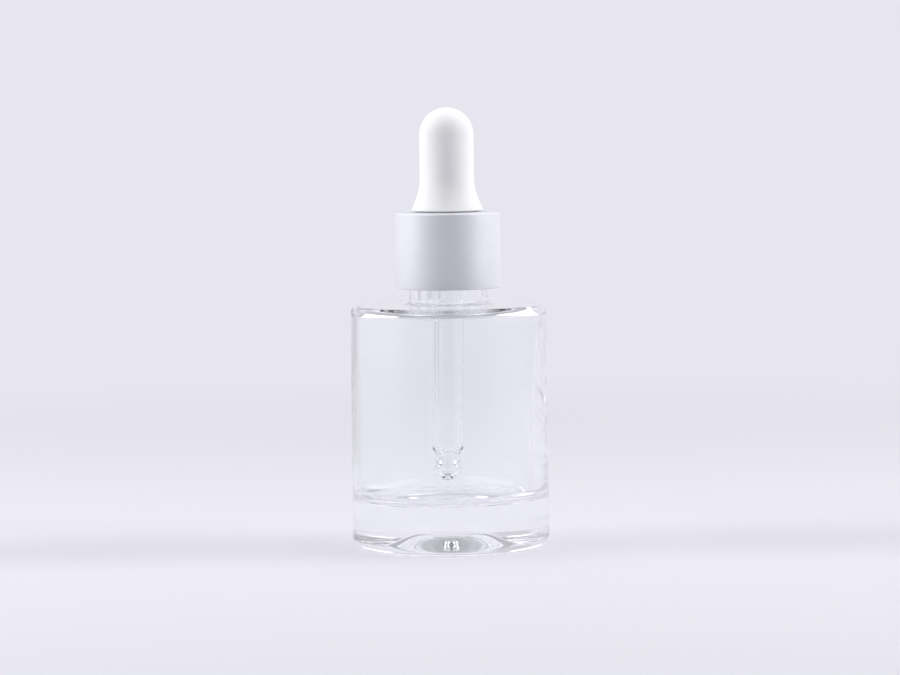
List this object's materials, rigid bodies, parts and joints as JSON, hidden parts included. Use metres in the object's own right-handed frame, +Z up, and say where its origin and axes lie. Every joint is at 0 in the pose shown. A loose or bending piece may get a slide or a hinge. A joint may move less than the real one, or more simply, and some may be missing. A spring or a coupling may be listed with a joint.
{
  "type": "dropper bottle",
  "caption": "Clear glass cylinder bottle with a thick base, closed by a white screw collar with a soft squeeze bulb and a glass pipette.",
  "frame": {"origin": "centre of the circle that the bottle stands on", "axes": "+Z up along the axis of the bottle and its closure; the bulb is pressed along +X"},
  "size_m": [0.0392, 0.0392, 0.0871],
  "materials": {
    "bottle_glass": "clear colourless soda-lime glass, polished",
    "pipette_glass": "clear colourless glass tube, fire polished",
    "bulb_rubber": "soft matt white silicone",
    "sleeve_finish": "smooth satin white, slightly cool",
    "collar_plastic": "moulded white polypropylene",
    "gasket_plastic": "soft white polyethylene sheet",
    "wiper_plastic": "moulded natural polyethylene"
  },
  "bodies": {
    "bottle": {"bottle": "bottle_glass", "neck_wiper": "wiper_plastic"},
    "gasket": {"seal_gasket": "gasket_plastic"},
    "dropper": {"pipette": "pipette_glass"},
    "collar": {"threaded_collar": "collar_plastic", "collar_sleeve": "sleeve_finish"},
    "bulb": {"bulb": "bulb_rubber"}
  },
  "joints": [
    {"name": "draw_out", "type": "slide", "parent": "bottle", "child": "gasket", "axis": [0, 0, 1], "range_m": [0, 0.055]},
    {"name": "collar_lift", "type": "slide", "parent": "gasket", "child": "dropper", "axis": [0, 0, 1], "range_m": [0, 0.00317]},
    {"name": "collar_turn", "type": "hinge", "parent": "dropper", "child": "collar", "pos_m": [0, 0, 0.0515], "axis": [0, 0, 1], "range_deg": [0, 540]},
    {"name": "bulb_squeeze", "type": "slide", "parent": "dropper", "child": "bulb", "axis": [1, 0, 0], "range_m": [0, 0.0035], "stiffness_N_per_m": 400, "deforming": ["bulb"]}
  ],
  "couplings": [
    {"joint": "collar_turn", "follows": "collar_lift", "rad_per_m": 2968.4}
  ]
}
